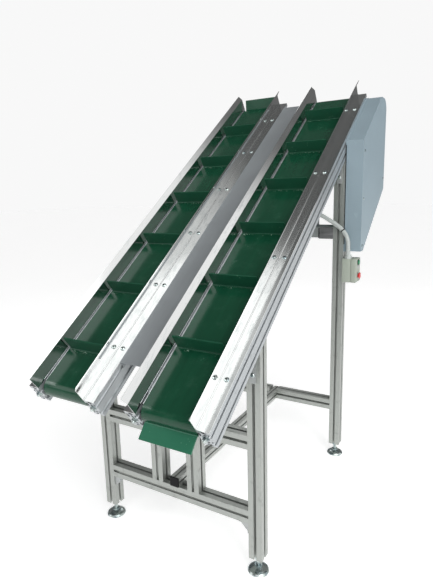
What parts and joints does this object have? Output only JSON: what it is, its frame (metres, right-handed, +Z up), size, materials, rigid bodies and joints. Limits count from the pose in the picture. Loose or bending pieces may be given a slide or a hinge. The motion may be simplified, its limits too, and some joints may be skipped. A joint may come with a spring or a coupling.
{
  "type": "inclined twin-lane cleated belt conveyor",
  "caption": "Inclined twin-lane belt conveyor with green cleated belts between polished side guides, on an aluminium slot-profile stand with levelling feet.",
  "frame": {"origin": "on the floor, at the centre of the whole machine's bounding box seen from above", "axes": "+X to the machine's right side, where the chain guard is; +Y from the loading end to the discharge end; +Z up"},
  "size_m": [0.643, 1.3433, 1.4569],
  "materials": {
    "stand_aluminium": "satin anodised, warm grey",
    "rail_aluminium": "satin anodised extrusion",
    "polished_stainless": "polished stainless sheet, near mirror",
    "zinc_steel": "bright zinc plate",
    "belt_green": "smooth dark green PVC, slightly glossy",
    "cleat_green": "welded green PVC",
    "guard_paint": "blue-grey powder coat",
    "pan_sheet": "matt sheet steel",
    "machined_steel": "turned steel",
    "chain_steel": "oiled steel",
    "motor_paint": "dark grey enamel",
    "cast_bracket": "die-cast, satin",
    "box_plastic": "moulded beige-grey plastic",
    "button_green": "moulded green plastic",
    "button_red": "moulded red plastic",
    "conduit_plastic": "corrugated light grey plastic",
    "black_plastic": "moulded black plastic"
  },
  "bodies": {
    "frame": {"leg_front_left": "stand_aluminium", "leg_front_right": "stand_aluminium", "leg_rear_left": "stand_aluminium", "leg_rear_right": "stand_aluminium", "front_posts": "stand_aluminium", "crossbar_front_lower": "stand_aluminium", "upper_crossbars": "stand_aluminium", "rear_crossbars": "stand_aluminium", "centre_bar": "stand_aluminium", "bar_end_caps": "black_plastic", "frame_brackets": "cast_bracket", "frame_bolts": "zinc_steel", "motor_arm": "stand_aluminium", "foot_lock_nuts": "zinc_steel", "rail_left_outer": "rail_aluminium", "rail_left_inner": "rail_aluminium", "rail_right_inner": "rail_aluminium", "rail_right_outer": "rail_aluminium", "cross_ties": "cast_bracket", "slider_bed_left": "pan_sheet", "slider_bed_right": "pan_sheet", "divider_pan": "pan_sheet", "guide_left_outer": "polished_stainless", "guide_left_inner": "polished_stainless", "guide_right_inner": "polished_stainless", "guide_right_outer": "polished_stainless", "guide_screws": "zinc_steel", "belt_left": "belt_green", "belt_right": "belt_green", "cleats_left": "cleat_green", "cleats_right": "cleat_green", "head_bearings": "machined_steel", "tension_bolts": "zinc_steel", "gearbox": "motor_paint", "motor_body": "motor_paint", "fan_cover": "motor_paint", "terminal_box": "motor_paint", "motor_plate": "cast_bracket", "drive_chain": "chain_steel", "guard_back_plate": "guard_paint", "guard_cover": "guard_paint", "box_base": "box_plastic", "box_cover": "box_plastic", "conduit": "conduit_plastic"},
    "head_shaft": {"drive_shaft": "machined_steel", "head_drum_left": "machined_steel", "head_drum_right": "machined_steel", "driven_sprocket": "chain_steel"},
    "gearbox_output": {"output_shaft": "machined_steel", "motor_sprocket": "chain_steel"},
    "take_up_left": {"take_up_left": "machined_steel"},
    "take_up_right": {"take_up_right": "machined_steel"},
    "tail_roller_left": {"tail_roller_left": "machined_steel"},
    "tail_roller_right": {"tail_roller_right": "machined_steel"},
    "start_button": {"start_button": "button_green"},
    "stop_button": {"stop_button": "button_red"},
    "foot_front_left": {"foot_front_left": "zinc_steel"},
    "foot_front_right": {"foot_front_right": "zinc_steel"},
    "foot_rear_left": {"foot_rear_left": "zinc_steel"},
    "foot_rear_right": {"foot_rear_right": "zinc_steel"}
  },
  "joints": [
    {"name": "head_shaft_spin", "type": "hinge", "parent": "frame", "child": "head_shaft", "pos_m": [-0.026, 0.59141, 1.35874], "axis": [1, 0, 0], "continuous": true},
    {"name": "gearbox_output_spin", "type": "hinge", "parent": "frame", "child": "gearbox_output", "pos_m": [-0.026, 0.40986, 0.905], "axis": [1, 0, 0], "continuous": true},
    {"name": "take_up_left_slide", "type": "slide", "parent": "frame", "child": "take_up_left", "axis": [0, 0.8192, 0.5736], "range_m": [0, 0.01]},
    {"name": "tail_roller_left_spin", "type": "hinge", "parent": "take_up_left", "child": "tail_roller_left", "pos_m": [-0.192, -0.59562, 0.54344], "axis": [1, 0, 0], "continuous": true},
    {"name": "take_up_right_slide", "type": "slide", "parent": "frame", "child": "take_up_right", "axis": [0, 0.8192, 0.5736], "range_m": [0, 0.01]},
    {"name": "tail_roller_right_spin", "type": "hinge", "parent": "take_up_right", "child": "tail_roller_right", "pos_m": [0.14, -0.59562, 0.54344], "axis": [1, 0, 0], "continuous": true},
    {"name": "start_button_press", "type": "slide", "parent": "frame", "child": "start_button", "axis": [-1, 0, 0], "range_m": [0, 0.004], "stiffness_N_per_m": 600, "springref_m": -0.001},
    {"name": "stop_button_press", "type": "slide", "parent": "frame", "child": "stop_button", "axis": [-1, 0, 0], "range_m": [0, 0.004], "stiffness_N_per_m": 800, "springref_m": -0.001},
    {"name": "foot_front_left_adjust", "type": "slide", "parent": "frame", "child": "foot_front_left", "axis": [0, 0, 1], "range_m": [-0.015, 0.015]},
    {"name": "foot_front_right_adjust", "type": "slide", "parent": "frame", "child": "foot_front_right", "axis": [0, 0, 1], "range_m": [-0.015, 0.015]},
    {"name": "foot_rear_left_adjust", "type": "slide", "parent": "frame", "child": "foot_rear_left", "axis": [0, 0, 1], "range_m": [-0.015, 0.015]},
    {"name": "foot_rear_right_adjust", "type": "slide", "parent": "frame", "child": "foot_rear_right", "axis": [0, 0, 1], "range_m": [-0.015, 0.015]}
  ],
  "couplings": [
    {"joint": "gearbox_output_spin", "follows": "head_shaft_spin", "ratio": 1},
    {"joint": "tail_roller_left_spin", "follows": "head_shaft_spin", "ratio": 1.52},
    {"joint": "tail_roller_right_spin", "follows": "head_shaft_spin", "ratio": 1.52}
  ]
}
